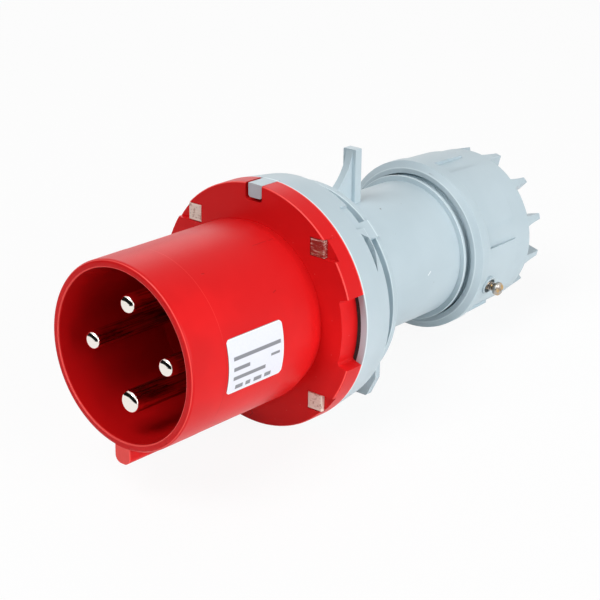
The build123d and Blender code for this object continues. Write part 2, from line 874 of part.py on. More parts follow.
def lock_screw():
    """The slotted screw that keeps the nut from turning, drawn partly out as it is found."""
    seat = lock_screw_tip_depth + lock_screw_length
    top = seat + lock_screw_head_height
    shank = lock_rod(lock_screw_radius, lock_screw_tip_depth, seat)
    shank = chamfer(shank.edges().sort_by(Axis.X)[0], lock_screw_radius / 3)
    head = lock_rod(lock_screw_head_radius, seat, top)
    head = fillet(head.edges().sort_by(Axis.X)[-1], lock_screw_head_height / 2)
    slot = brick(
        (top - screw_slot_depth, top + overrun),
        (-screw_slot_width / 2, screw_slot_width / 2),
        (-2 * lock_screw_head_radius, 2 * lock_screw_head_radius),
    )
    return at_lock_hole(shank + head - slot)


def rating_label():
    """The thin label on the side of the shroud."""
    skin = rod(label_inner_radius + label_thickness, label_start_y, label_start_y + label_length)
    skin -= rod(label_inner_radius, label_start_y - overrun, label_start_y + label_length + overrun)
    outline = RectangleRounded(label_length, 2 * label_half_height, label_corner)
    middle_y = label_start_y + label_length / 2
    window = Pos(0, middle_y, 0) * (Plane.YZ * extrude(outline, amount=far))
    return skin & window


def build():
    """Every piece of the plug, by the name of its node."""
    pieces = {"pin_housing": pin_housing()}
    for name, (angle, radius) in pin_places.items():
        pieces[name] = contact_pin(angle, radius)
        pieces[name.replace("pin", "terminal_screws")] = terminal_screws(angle)
    pieces["pin_retainer"] = pin_retainer()
    pieces["retainer_screws"] = retainer_screws()
    for name, (x_way, z_way) in corner_places.items():
        pieces["steel_insert_" + name] = steel_insert(x_way, z_way)
    pieces["housing_gasket"] = housing_gasket()
    pieces["rear_housing"] = rear_housing()
    pieces["cable_grommet"] = cable_grommet()
    pieces["pressure_ring"] = pressure_ring()
    pieces["gland_nut"] = gland_nut()
    pieces["lock_screw"] = lock_screw()
    pieces["rating_label"] = rating_label()
    return pieces


os.makedirs("parts", exist_ok=True)
for node, piece in build().items():
    export_step(piece, f"parts/{node}.step")
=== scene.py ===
"""Looks of the industrial pin and sleeve plug: finishes, threads, label, light and camera."""

import json
from math import atan2, cos, pi, radians, sin

import bmesh
import bpy
from mathutils import Matrix, Vector


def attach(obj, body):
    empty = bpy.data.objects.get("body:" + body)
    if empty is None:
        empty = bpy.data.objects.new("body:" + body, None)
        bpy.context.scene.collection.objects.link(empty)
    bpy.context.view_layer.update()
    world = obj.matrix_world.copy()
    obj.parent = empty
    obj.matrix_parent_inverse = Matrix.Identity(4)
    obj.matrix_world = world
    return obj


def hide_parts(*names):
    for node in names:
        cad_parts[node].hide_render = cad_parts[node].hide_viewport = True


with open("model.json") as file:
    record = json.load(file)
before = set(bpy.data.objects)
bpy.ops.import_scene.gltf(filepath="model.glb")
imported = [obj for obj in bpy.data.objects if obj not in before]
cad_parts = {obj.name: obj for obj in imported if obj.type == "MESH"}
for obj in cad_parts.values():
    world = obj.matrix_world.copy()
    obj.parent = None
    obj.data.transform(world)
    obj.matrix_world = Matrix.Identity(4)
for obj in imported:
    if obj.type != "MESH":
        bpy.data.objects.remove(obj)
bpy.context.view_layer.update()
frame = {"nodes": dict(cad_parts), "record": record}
nodes = frame["nodes"]
scene = bpy.context.scene

MM = 0.001

# The photograph's camera: its place, the way it looks, and its lens
camera_place = Vector((462.84, -427.83, 261.54)) * MM
camera_azimuth = radians(40.8)
camera_elevation = radians(20.67)
camera_roll = radians(0.82)
camera_lens = 103.0
sensor_width = 36.0

# Sizes of the plug that its finishes follow, in mm
shroud_radius = 40.0
shroud_bore_radius = 36.65
parting_line_y = 19.0
flange_radius = 54.2
flange_front_y = 78.3
flange_rear_y = 88.1
ring_rear_y = 106.3
ring_rear_radius = 52.0
collar_front_y = 114.5
collar_radius = 47.3
end_collar_y = 183.0
end_collar_radius = 34.8
nut_front_y = 187.6
nut_front_radius = 37.4

# Where a finish starts or ends along the axis, in mm
mouth_edge_end_y = 0.55
bore_shade_start_y = 1.0
shank_start_y = 8.0
dust_start_y = 70.0
turning_end_y = 93.0

# Height at which the mould line turns from painted shade to painted highlight, in mm
line_turn_z = 12.0

# Turning marks of the locking ring, in radians for each metre of radius
turning_marks = 5200.0

# The widest part of the nut, which the plug lies on with its flange's rim, in mm
rest_nut_y = 217.9
rest_nut_drop = 39.2

# Floor: its width in metres, and how much of it is seen as plain white
floor_size = 6.0
floor_glow = 0.92

# Lamps of the studio, which face the plug's middle: name, place and width in metres, power in watts
plug_middle = (0.0, 0.1, 0.0)
lamps = (
    ("key_light", (1.40, 0.10, 0.36), 1.0, 17.0),
    ("front_light", (0.90, -1.05, 0.90), 1.0, 0.5),
    ("high_front_light", (-0.05, -0.95, 1.34), 1.0, 18.0),
    ("top_light", (-0.20, 0.30, 1.50), 1.2, 2.0),
    ("back_light", (-1.10, 0.90, 0.80), 1.0, 4.0),
)

# Strength of the even light around the plug
world_strength = 0.09

# Black card before the mouth, in metres: its folds seen from above, its foot and its top
card_folds = ((-0.85, -0.10), (-0.55, -0.45), (-0.05, -0.68), (0.45, -0.75), (0.85, -0.55))
card_foot = -0.14
card_top = 0.36

# The card's flap toward the plug: how far out its inner edge is, as a share of the folds, and its height
flap_share = 0.52
flap_height = -0.098

# Colours as they look under plain light, besides the painted highlights and painted shade marked below
red_colour = (0.75, 0.0115, 0.0130)
red_deep = (0.65, 0.0095, 0.0110)
# Painted shade deep in the shroud's bore
red_bore_shade = (0.50, 0.0030, 0.0040)
# Painted highlight on the mouth's and flange's edges and on the upper side of the mould line
red_edge_highlight = (0.95, 0.10, 0.09)
# Dark scratches, and painted shade on the lower side of the mould line
red_dark = (0.30, 0.004, 0.005)
grey_colour = (0.50, 0.60, 0.65)
grey_deep = (0.46, 0.56, 0.61)
# Painted highlight on the edges of the ring, collars and nut
grey_edge_highlight = (0.80, 0.90, 0.93)
grey_dark = (0.16, 0.19, 0.20)
red_dust = (0.80, 0.22, 0.20)
grey_dust = (0.20, 0.22, 0.22)
# Painted highlight: a small bright glint on the tube
tube_highlight_colour = (0.92, 0.96, 0.97)
black_colour = (0.012, 0.012, 0.013)
black_worn = (0.03, 0.03, 0.032)
rubber_bloom = (0.035, 0.035, 0.036)
nickel_colour = (0.88, 0.83, 0.77)
nickel_deep = (0.62, 0.55, 0.47)
socket_wear = (0.36, 0.25, 0.13)
steel_colour = (0.46, 0.43, 0.40)
brass_tint = (0.58, 0.36, 0.13)
# Painted shade about the lock screw's axis, between the turns of its thread
thread_groove_shade = (0.06, 0.045, 0.035)
insert_pale = (0.73, 0.58, 0.49)
insert_worn = (0.90, 0.84, 0.76)
insert_dark = (0.30, 0.035, 0.03)
rust_colour = (0.30, 0.12, 0.06)
label_colour = (0.80, 0.83, 0.91)
label_shade = (0.77, 0.80, 0.88)
label_border = (0.92, 0.94, 0.96)
label_rim = (0.30, 0.31, 0.35)
ink_colour = (0.09, 0.095, 0.11)
paper_colour = (0.92, 0.92, 0.92)
card_colour = (0.01, 0.01, 0.01)
white = (1.0, 1.0, 1.0)

# Fields of the label, in mm: from, to, half height, softness of the edge
label_film_field = (20.32, 52.28, 11.52, 0.06)
label_print_field = (20.75, 51.85, 11.1, 0.12)

# Bars of the label, in mm: from, to, middle height, thickness
label_bars = (
    (23.2, 50.6, 3.2, 1.6),
    (44.8, 50.0, -1.1, 1.1),
    (23.2, 32.4, -1.3, 1.6),
    (23.2, 41.8, -5.2, 1.6),
    (24.8, 29.2, -9.3, 1.8),
    (30.8, 33.6, -9.3, 1.8),
    (35.6, 40.2, -9.3, 1.8),
    (41.8, 45.6, -9.3, 1.8),
)

# Scratches in the red moulding, in mm: from, to, width
red_scratches = (
    ((17.2, 58.5, 36.0), (17.1, 66.8, 36.1), 0.30),
    ((17.4, 67.9, 35.9), (17.0, 72.2, 36.1), 0.30),
    ((33.6, 53.0, 21.5), (33.4, 54.6, 21.9), 0.50),
    ((21.3, 24.6, 33.8), (21.4, 25.8, 33.7), 0.50),
    ((-1.7, 78.3, -48.8), (-0.5, 78.3, -50.4), 0.45),
    ((-0.5, 78.3, -50.4), (-2.3, 78.3, -52.3), 0.45),
)

# Small marks on the grey mouldings, in mm: two dark specks, a smudge, and a painted highlight on the tube
tube_speck = (12.2, 148.3, 29.9)
nut_speck = (7.7, 205.3, 39.9)
nut_smudge = ((12.0, 187.9, 36.6), (9.0, 188.0, 37.2), 0.5)
tube_glint = ((32.3, 158.9, 0.6), (32.2, 160.6, 1.9), 0.5)

# The crown of a contact pin, and where the drawn pin is cut to take it
crown_cut_y = 12.0 * MM
crown_tip_y = 3.4 * MM
crown_depth = 2.6 * MM
crown_fullness = 3.0
crown_rings = 14

# Points of a mesh nearer than this are one point, and flatter edges than this are smooth
same_point = 0.002 * MM
smooth_angle = radians(35.0)

# The lock screw: a point on its axis, the way out of the nut, and its sizes from that point
screw_point = Vector((38.69, 197.8, -12.95)) * MM
screw_way = Vector((0.9961947, 0.0, -0.0871557))
screw_tip = -4.1 * MM
screw_seat = 4.4 * MM
screw_radius = 2.0 * MM
thread_depth = 0.50 * MM
thread_pitch = 1.15 * MM
ridge_share = 0.65
ridge_sides = 6
round_sides = 40
thread_end_gap = 0.25 * MM
head_overlap = 0.05 * MM
core_overlap = 0.3 * MM
slot_turn = radians(60.0)

# Painted shade between the turns of the lock screw's thread: how wide it is about the axis, in mm
thread_shade_width = 3.4


class Number:
    """A number socket that can be used in arithmetic: each expression adds its Math nodes."""

    def __init__(self, finish, socket):
        self.finish = finish
        self.socket = socket

    def maths(self, operation, *others):
        node = self.finish.tree.nodes.new("ShaderNodeMath")
        node.operation = operation
        for place, value in enumerate((self, *others)):
            self.finish.feed(node.inputs[place], value)
        return Number(self.finish, node.outputs[0])

    def __add__(self, other):
        return self.maths("ADD", other)

    __radd__ = __add__

    def __mul__(self, other):
        return self.maths("MULTIPLY", other)

    __rmul__ = __mul__

    def __sub__(self, other):
        return self.maths("SUBTRACT", other)

    def __rsub__(self, other):
        return (self * -1.0).maths("ADD", other)

    def __truediv__(self, other):
        return self.maths("DIVIDE", other)

    def above(self, edge, softness):
        """0 below the edge and 1 above it, with a soft step between."""
        step = self.finish.node(
            "ShaderNodeMapRange",
            {"interpolation_type": "SMOOTHSTEP", "clamp": True},
            {"Value": self, "From Min": edge - softness, "From Max": edge + softness},
        )
        return Number(self.finish, step.outputs["Result"])

    def below(self, edge, softness):
        return 1.0 - self.above(edge, softness)

    def within(self, low, high, softness):
        """1 between two values and 0 outside them."""
        return self.above(low, softness) * self.below(high, softness)


class Finish:
    """One material, with short ways to add and join its nodes."""

    def __init__(self, name):
        self.material = bpy.data.materials.new(name)
        self.material.use_nodes = True
        self.tree = self.material.node_tree
        self.tree.nodes.clear()
        self.output = self.tree.nodes.new("ShaderNodeOutputMaterial")
        place = self.node("ShaderNodeTexCoord").outputs["Object"]
        axes = self.node("ShaderNodeSeparateXYZ", {}, {0: place})
        self.place = place
        self.x = Number(self, axes.outputs[0])
        self.y = Number(self, axes.outputs[1])
        self.z = Number(self, axes.outputs[2])
        self.radius = (self.x * self.x + self.z * self.z).maths("SQRT")

    def feed(self, socket, value):
        """Sets a socket to a plain value, or links it."""
        if isinstance(value, Number):
            value = value.socket
        if isinstance(value, bpy.types.NodeSocket):
            self.tree.links.new(value, socket)
        elif isinstance(value, tuple) and len(value) == 3 and socket.type == "RGBA":
            socket.default_value = (*value, 1.0)
        else:
            socket.default_value = value

    def node(self, kind, settings=None, inputs=None):
        """Adds a node: its settings first, then the values or links of its sockets."""
        made = self.tree.nodes.new(kind)
        for key, value in (settings or {}).items():
            setattr(made, key, value)
        for key, value in (inputs or {}).items():
            self.feed(made.inputs[key], value)
        return made

    def noise(self, scale, detail, roughness=0.5, stretch=(1.0, 1.0, 1.0)):
        """Cloudy noise; scale is in spots for each metre."""
        vector = self.place
        if stretch != (1.0, 1.0, 1.0):
            vector = self.node("ShaderNodeMapping", {}, {"Vector": self.place, "Scale": stretch}).outputs[0]
        made = self.node(
            "ShaderNodeTexNoise",
            {},
            {"Vector": vector, "Scale": scale, "Detail": detail, "Roughness": roughness},
        )
        return Number(self, made.outputs["Fac"])

    def cells(self, scale):
        """Distance to the nearest of scattered points, in cells."""
        made = self.node("ShaderNodeTexVoronoi", {}, {"Vector": self.place, "Scale": scale})
        return Number(self, made.outputs["Distance"])

    def near(self, point, reach, softness):
        """1 around a point given in mm, and 0 farther off than reach."""
        spot = tuple(Vector(point) * MM)
        gap = self.node("ShaderNodeVectorMath", {"operation": "DISTANCE"}, {0: self.place, 1: spot})
        return Number(self, gap.outputs["Value"]).below(reach * MM, softness * MM)

    def rim(self, low, high, softness, radius, fade):
        """1 outside a radius between two places on the axis, in mm: a band at the edge of a round form,
        used for painted edge highlights and the mould line.
        """
        return self.y.within(low * MM, high * MM, softness * MM) * self.radius.above(radius * MM, fade * MM)

    def panel(self, start, end, low, high, softness):
        """1 between two places on the axis and two heights, in mm."""
        along = self.y.within(start * MM, end * MM, softness * MM)
        return along * self.z.within(low * MM, high * MM, softness * MM)

    def scratch(self, start, end, width):
        """1 on a thin straight mark between two points given in mm."""
        along = (Vector(end) - Vector(start)) * MM
        run = tuple(along)
        foot = tuple(Vector(start) * MM)
        offset = self.node("ShaderNodeVectorMath", {"operation": "SUBTRACT"}, {0: self.place, 1: foot})
        offset = offset.outputs[0]
        share = self.node("ShaderNodeVectorMath", {"operation": "DOT_PRODUCT"}, {0: offset, 1: run})
        share = (Number(self, share.outputs["Value"]) / along.length_squared).maths("MAXIMUM", 0.0)
        nearest = self.node(
            "ShaderNodeVectorMath",
            {"operation": "SCALE"},
            {0: run, "Scale": share.maths("MINIMUM", 1.0)},
        ).outputs[0]
        gap = self.node("ShaderNodeVectorMath", {"operation": "DISTANCE"}, {0: offset, 1: nearest})
        return Number(self, gap.outputs["Value"]).below(width / 2 * MM, width / 4 * MM)

    def mix(self, factor, first, second):
        """A colour between two colours."""
        made = self.node("ShaderNodeMix", {"data_type": "RGBA"})
        self.feed(made.inputs["Factor"], factor)
        self.feed(made.inputs[6], first)
        self.feed(made.inputs[7], second)
        return made.outputs[2]

    def bump(self, height, distance, strength):
        """A surface relief; distance is in metres."""
        inputs = {"Height": height, "Distance": distance, "Strength": strength}
        return self.node("ShaderNodeBump", {}, inputs).outputs["Normal"]

    def shade(self, **sockets):
        """Ends the material in one Principled shader."""
        shader = self.node("ShaderNodeBsdfPrincipled")
        for key, value in sockets.items():
            self.feed(shader.inputs[key.replace("_", " ")], value)
        self.tree.links.new(shader.outputs[0], self.output.inputs["Surface"])
        return self.material


def joined(*masks):
    """Several marks as one mask, no stronger than 1."""
    return sum(masks[1:], masks[0]).maths("MINIMUM", 1.0)


def red_plastic():
    """Moulded polyamide with a fine grain, painted highlights on its edges, painted shade deep in the bore,
    dust and a few scratches.
    """
    finish = Finish("red_plastic")
    clouds = finish.noise(22.0, detail=3.0)
    grain = finish.noise(2600.0, detail=3.0, roughness=0.6)
    dust = finish.cells(210.0).below(0.05, 0.02) * finish.y.above(dust_start_y * MM, 2 * MM)
    mouth = finish.y.below(mouth_edge_end_y * MM, 0.15 * MM)
    outer_edge = mouth * finish.radius.above((shroud_radius - 0.65) * MM, 0.15 * MM)
    inner_edge = mouth * finish.radius.below((shroud_bore_radius + 0.5) * MM, 0.12 * MM)
    worn_radius = flange_radius - 0.45
    front_edge = finish.rim(flange_front_y - 0.4, flange_front_y + 0.5, 0.10, worn_radius, 0.12)
    rear_edge = finish.rim(flange_rear_y - 0.5, flange_rear_y + 0.2, 0.10, worn_radius, 0.12)
    # Painted highlights along the mouth's and flange's edges
    edges = joined(outer_edge, inner_edge, front_edge, rear_edge)
    mould_line = finish.rim(parting_line_y - 0.18, parting_line_y + 0.14, 0.10, shroud_radius - 0.5, 0.2)
    # The mould line: painted shade below, painted highlight above
    line_highlight_and_shade = finish.mix(finish.z.above(line_turn_z * MM, 8 * MM), red_dark, red_edge_highlight)
    scratches = joined(*[finish.scratch(*mark) for mark in red_scratches])
    bore = finish.radius.below((shroud_bore_radius + 0.15) * MM, 0.1 * MM)
    bore_shade_mask = bore * finish.y.above(bore_shade_start_y * MM, 0.5 * MM)
    colour = finish.mix(clouds.above(0.45, 0.12), red_colour, red_deep)
    # Painted shade deep inside the bore
    colour = finish.mix(bore_shade_mask * 0.8, colour, red_bore_shade)
    colour = finish.mix(edges * 0.9, colour, red_edge_highlight)
    colour = finish.mix(dust * 0.35, colour, red_dust)
    colour = finish.mix(mould_line * 0.35, colour, line_highlight_and_shade)
    colour = finish.mix(scratches * 0.45, colour, red_dark)
    relief = grain + clouds * 0.3 - scratches * 2.0
    return finish.shade(
        Base_Color=colour,
        Roughness=0.31 + 0.08 * grain + 0.05 * clouds,
        Normal=finish.bump(relief, distance=0.00004, strength=0.6),
        IOR=1.23,
    )


def grey_plastic():
    """Moulded blue-grey polyamide, smooth, with painted highlights on its edges, a painted glint on the
    tube, and a few dark specks.
    """
    finish = Finish("grey_plastic")
    clouds = finish.noise(18.0, detail=3.0)
    grain = finish.noise(1900.0, detail=2.0, roughness=0.5)
    dust = finish.cells(120.0).below(0.030, 0.012)
    ring_front = finish.rim(flange_rear_y + 0.1, flange_rear_y + 0.9, 0.12, flange_radius - 0.9, 0.15)
    ring_rear = finish.rim(ring_rear_y - 0.7, ring_rear_y + 0.2, 0.15, ring_rear_radius - 0.4, 0.15)
    collar = finish.rim(collar_front_y - 0.2, collar_front_y + 0.4, 0.10, collar_radius - 0.3, 0.10)
    end_collar = finish.rim(end_collar_y - 0.1, end_collar_y + 0.3, 0.08, end_collar_radius - 0.3, 0.10)
    nut_ring = finish.radius.within((nut_front_radius - 0.3) * MM, (nut_front_radius + 0.3) * MM, 0.12 * MM)
    nut_front = nut_ring * finish.y.within((nut_front_y - 0.2) * MM, (nut_front_y + 0.5) * MM, 0.1 * MM)
    # Painted highlights along the edges of the ring, collars and nut
    edges = joined(ring_front, ring_rear * 0.6, collar * 0.7, nut_front * 0.6, end_collar * 0.6)
    turning = (finish.radius * turning_marks).maths("SINE") * finish.y.below(turning_end_y * MM, 0.5 * MM)
    specks = joined(finish.near(tube_speck, 0.45, 0.15), finish.near(nut_speck, 0.5, 0.2))
    colour = finish.mix(clouds.above(0.45, 0.12), grey_colour, grey_deep)
    colour = finish.mix(edges * 0.7, colour, grey_edge_highlight)
    colour = finish.mix(dust * 0.4, colour, grey_dust)
    colour = finish.mix(specks * 0.8, colour, grey_dark)
    colour = finish.mix(finish.scratch(*nut_smudge) * 0.4, colour, grey_dark)
    # Painted highlight: a small glint on the tube
    colour = finish.mix(finish.scratch(*tube_glint) * 0.8, colour, tube_highlight_colour)
    return finish.shade(
        Base_Color=colour,
        Roughness=0.32 + 0.10 * grain + 0.06 * clouds,
        Specular_IOR_Level=0.40,
        Normal=finish.bump(grain + turning * 0.3, distance=0.00003, strength=0.5),
        IOR=1.5,
    )


def black_plastic():
    """Moulded black inner parts."""
    finish = Finish("black_plastic")
    grain = finish.noise(1500.0, detail=2.0)
    return finish.shade(
        Base_Color=finish.mix(grain, black_colour, black_worn),
        Roughness=0.5 + 0.15 * grain,
        Normal=finish.bump(grain, distance=0.00005, strength=0.5),
    )


def seal_rubber():
    """Soft black rubber with a dusty bloom."""
    finish = Finish("seal_rubber")
    bloom = finish.noise(160.0, detail=4.0, roughness=0.6)
    return finish.shade(
        Base_Color=finish.mix(bloom.above(0.5, 0.2), black_colour, rubber_bloom),
        Roughness=0.62 + 0.2 * bloom,
        Normal=finish.bump(bloom, distance=0.00008, strength=0.5),
    )


def contact_metal():
    """Nickel-plated turned pins: a mirror crown, and a shank scratched along by sockets."""
    finish = Finish("contact_metal")
    shank = finish.y.above(shank_start_y * MM, 1.5 * MM)
    turned = finish.noise(900.0, detail=2.0, roughness=0.5, stretch=(0.15, 6.0, 0.15))
    drawn = finish.noise(1500.0, detail=3.0, roughness=0.6, stretch=(1.0, 0.03, 1.0))
    haze = finish.noise(90.0, detail=2.0)
    worn = drawn.above(0.51, 0.04) * shank
    colour = finish.mix(haze.above(0.55, 0.2) * shank, nickel_colour, nickel_deep)
    colour = finish.mix(worn * 0.8, colour, socket_wear)
    return finish.shade(
        Base_Color=colour,
        Metallic=1.0,
        Roughness=0.05 + 0.04 * haze + 0.14 * worn,
        Normal=finish.bump(turned * 0.4 + drawn * shank, distance=0.000010, strength=0.5),
    )


def screw_steel():
    """Zinc-plated screws with yellowed patches, and painted shade between the turns of the lock screw's
    thread.
    """
    finish = Finish("screw_steel")
    stains = finish.noise(420.0, detail=3.0, roughness=0.6)
    foot = screw_point / MM + screw_way * screw_tip / MM
    neck = screw_point / MM + screw_way * (screw_seat / MM - 1.0)
    grooves = finish.scratch(foot, neck, thread_shade_width)
    colour = finish.mix(stains.above(0.54, 0.10), steel_colour, brass_tint)
    # Painted shade about the axis, between the thread's turns
    colour = finish.mix(grooves * 0.9, colour, thread_groove_shade)
    return finish.shade(
        Base_Color=colour,
        Metallic=1.0,
        Roughness=0.20 + 0.2 * stains,
        Normal=finish.bump(stains, distance=0.00002, strength=0.5),
    )


def insert_steel():
    """Sheared steel bars: dull, scratched across, spotted with rust, one stained dark."""
    finish = Finish("insert_steel")
    scratches = finish.noise(900.0, detail=3.0, roughness=0.6, stretch=(0.25, 1.0, 3.0))
    spots = finish.noise(620.0, detail=4.0, roughness=0.65).above(0.60, 0.06)
    stained = finish.x.above(0.0, 1 * MM) * finish.z.above(0.0, 1 * MM)
    colour = finish.mix(scratches, insert_pale, insert_worn)
    colour = finish.mix(stained * scratches.below(0.60, 0.10), colour, insert_dark)
    colour = finish.mix(spots * 0.6, colour, rust_colour)
    return finish.shade(
        Base_Color=colour,
        Metallic=0.55 - 0.45 * spots,
        Roughness=0.40 + 0.25 * scratches + 0.15 * spots,
        Normal=finish.bump(scratches - spots * 0.4, distance=0.00006, strength=0.7),
    )


def label_film():
    """White film with plain grey bars where a label would carry its data."""
    finish = Finish("label_film")
    grain = finish.noise(1200.0, detail=2.0)
    bars = joined(
        *[
            finish.panel(start, end, height - thickness / 2, height + thickness / 2, 0.15)
            for start, end, height, thickness in label_bars
        ]
    )
    colour = finish.mix(grain.above(0.5, 0.3), label_colour, label_shade)
    for field, margin_colour in ((label_print_field, label_border), (label_film_field, label_rim)):
        start, end, reach, softness = field
        colour = finish.mix(finish.panel(start, end, -reach, reach, softness), margin_colour, colour)
    colour = finish.mix(bars * 0.80, colour, ink_colour)
    return finish.shade(
        Base_Color=colour,
        Roughness=0.32 + 0.1 * grain,
        Normal=finish.bump(grain, distance=0.00001, strength=0.4),
    )


finishes = {
    "red_plastic": red_plastic(),
    "grey_plastic": grey_plastic(),
    "black_plastic": black_plastic(),
    "seal_rubber": seal_rubber(),
    "contact_metal": contact_metal(),
    "screw_steel": screw_steel(),
    "insert_steel": insert_steel(),
    "label_film": label_film(),
}


def dress_cad_nodes():
    """Gives each CAD node the finish of its material slot."""
    slot_of = {part["node"]: part["material_slot"] for part in frame["record"]["subparts"]}
    for name, piece in nodes.items():
        piece.data.materials.clear()
        piece.data.materials.append(finishes[slot_of[name]])


dress_cad_nodes()


def merged_copy(name):
    """A joined copy of a CAD node's mesh, ready to be cut."""
    copy = bmesh.new()
    copy.from_mesh(nodes[name].data)
    copy.transform(nodes[name].matrix_world)
    bmesh.ops.remove_doubles(copy, verts=copy.verts[:], dist=same_point)
    return copy


def finished_piece(name, made, slot):
    """Turns worked mesh data into an object with its finish."""
    bmesh.ops.recalc_face_normals(made, faces=made.faces[:])
    for face in made.faces:
        face.smooth = True
    mesh = bpy.data.meshes.new(name)
    made.to_mesh(mesh)
    made.free()
    mesh.set_sharp_from_angle(angle=smooth_angle)
    mesh.materials.append(finishes[slot])
    piece = bpy.data.objects.new(name, mesh)
    scene.collection.objects.link(piece)
    return piece


def crowned_pin(name):
    """A contact pin with the full, flat-browed crown of a turned pin."""
    pin = merged_copy(name)
    everything = pin.verts[:] + pin.edges[:] + pin.faces[:]
    cut_place = (0, crown_cut_y, 0)
    bmesh.ops.bisect_plane(pin, geom=everything, plane_co=cut_place, plane_no=(0, -1, 0), clear_outer=True)
    rim = [vert for vert in pin.verts if abs(vert.co.y - crown_cut_y) < same_point]
    middle = sum((vert.co for vert in rim), Vector()) / len(rim)
    rim.sort(key=lambda vert: atan2(vert.co.z - middle.z, vert.co.x - middle.x))
    spokes = [vert.co - middle for vert in rim]
    ring = rim
    count = len(rim)
    for step in range(crown_rings):
        slant = step / crown_rings * pi / 2
        width = cos(slant) ** (2 / crown_fullness)
        y = crown_tip_y + crown_depth * (1 - sin(slant) ** (2 / crown_fullness))
        ahead = [pin.verts.new((middle.x + out.x * width, y, middle.z + out.z * width)) for out in spokes]
        for place in range(count):
            after = (place + 1) % count
            pin.faces.new((ring[place], ring[after], ahead[after], ahead[place]))
        ring = ahead
    tip = pin.verts.new((middle.x, crown_tip_y, middle.z))
    for place in range(count):
        pin.faces.new((ring[place], ring[(place + 1) % count], tip))
    piece = finished_piece("crowned_" + name, pin, "contact_metal")
    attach(piece, "root")
    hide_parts(name)


def thread_tree():
    """Node tree of a screw thread: a ridge wound about the Z axis."""
    tree = bpy.data.node_groups.new("screw_thread", "GeometryNodeTree")
    for label in ("Radius", "Pitch", "Length", "Ridge"):
        tree.interface.new_socket(label, in_out="INPUT", socket_type="NodeSocketFloat")
    tree.interface.new_socket("Material", in_out="INPUT", socket_type="NodeSocketMaterial")
    tree.interface.new_socket("Geometry", in_out="OUTPUT", socket_type="NodeSocketGeometry")
    given = tree.nodes.new("NodeGroupInput")
    result = tree.nodes.new("NodeGroupOutput")
    turns = tree.nodes.new("ShaderNodeMath")
    turns.operation = "DIVIDE"
    winding = tree.nodes.new("GeometryNodeCurveSpiral")
    winding.inputs["Resolution"].default_value = round_sides
    section = tree.nodes.new("GeometryNodeCurvePrimitiveCircle")
    section.inputs["Resolution"].default_value = ridge_sides
    sweep = tree.nodes.new("GeometryNodeCurveToMesh")
    sweep.inputs["Fill Caps"].default_value = True
    realize = tree.nodes.new("GeometryNodeRealizeInstances")
    dressed = tree.nodes.new("GeometryNodeSetMaterial")
    for source, target in (
        (given.outputs["Length"], turns.inputs[0]),
        (given.outputs["Pitch"], turns.inputs[1]),
        (turns.outputs[0], winding.inputs["Rotations"]),
        (given.outputs["Radius"], winding.inputs["Start Radius"]),
        (given.outputs["Radius"], winding.inputs["End Radius"]),
        (given.outputs["Length"], winding.inputs["Height"]),
        (given.outputs["Ridge"], section.inputs["Radius"]),
        (winding.outputs["Curve"], sweep.inputs["Curve"]),
        (section.outputs["Curve"], sweep.inputs["Profile Curve"]),
        (sweep.outputs["Mesh"], realize.inputs["Geometry"]),
        (realize.outputs["Geometry"], dressed.inputs["Geometry"]),
        (given.outputs["Material"], dressed.inputs["Material"]),
        (dressed.outputs["Geometry"], result.inputs["Geometry"]),
    ):
        tree.links.new(source, target)
    return tree


def wound_thread(sizes):
    """The thread as a plain mesh, from the tree's named sizes."""
    tree = thread_tree()
    holder = bpy.data.objects.new("thread_holder", bpy.data.meshes.new("thread_holder"))
    scene.collection.objects.link(holder)
    winder = holder.modifiers.new("thread", "NODES")
    winder.node_group = tree
    for socket in tree.interface.items_tree:
        if socket.in_out == "INPUT":
            winder[socket.identifier] = sizes[socket.name]
    ready = holder.evaluated_get(bpy.context.evaluated_depsgraph_get())
    mesh = bpy.data.meshes.new_from_object(ready)
    bpy.data.objects.remove(holder)
    return mesh


def threaded_lock_screw():
    """The lock screw: its drawn head with the slot, a core, and a thread wound on it."""
    screw = merged_copy("lock_screw")
    everything = screw.verts[:] + screw.edges[:] + screw.faces[:]
    cut = bmesh.ops.bisect_plane(
        screw,
        geom=everything,
        plane_co=screw_point + screw_way * (screw_seat - head_overlap),
        plane_no=screw_way,
        clear_inner=True,
    )
    edges = [item for item in cut["geom_cut"] if isinstance(item, bmesh.types.BMEdge)]
    bmesh.ops.edgenet_fill(screw, edges=edges)
    slot_rotation = Matrix.Rotation(slot_turn, 3, screw_way)
    bmesh.ops.rotate(screw, cent=screw_point, matrix=slot_rotation, verts=screw.verts[:])
    turn = screw_way.to_track_quat("Z", "Y").to_matrix().to_4x4()
    core_end = screw_seat + core_overlap
    bmesh.ops.create_cone(
        screw,
        cap_ends=True,
        segments=round_sides,
        radius1=screw_radius - thread_depth,
        radius2=screw_radius - thread_depth,
        depth=core_end - screw_tip,
        matrix=Matrix.Translation(screw_point + screw_way * (core_end + screw_tip) / 2) @ turn,
    )
    thread = wound_thread(
        {
            "Radius": screw_radius - thread_depth * ridge_share,
            "Pitch": thread_pitch,
            "Length": screw_seat - screw_tip - 2 * thread_end_gap,
            "Ridge": thread_depth * ridge_share,
            "Material": finishes["screw_steel"],
        }
    )
    thread.transform(Matrix.Translation(screw_point + screw_way * (screw_tip + thread_end_gap)) @ turn)
    screw.from_mesh(thread)
    piece = finished_piece("threaded_lock_screw", screw, "screw_steel")
    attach(piece, "lock_screw")
    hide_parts("lock_screw")


pins = [part["node"] for part in frame["record"]["subparts"] if part["material_slot"] == "contact_metal"]
for pin_name in pins:
    crowned_pin(pin_name)
threaded_lock_screw()


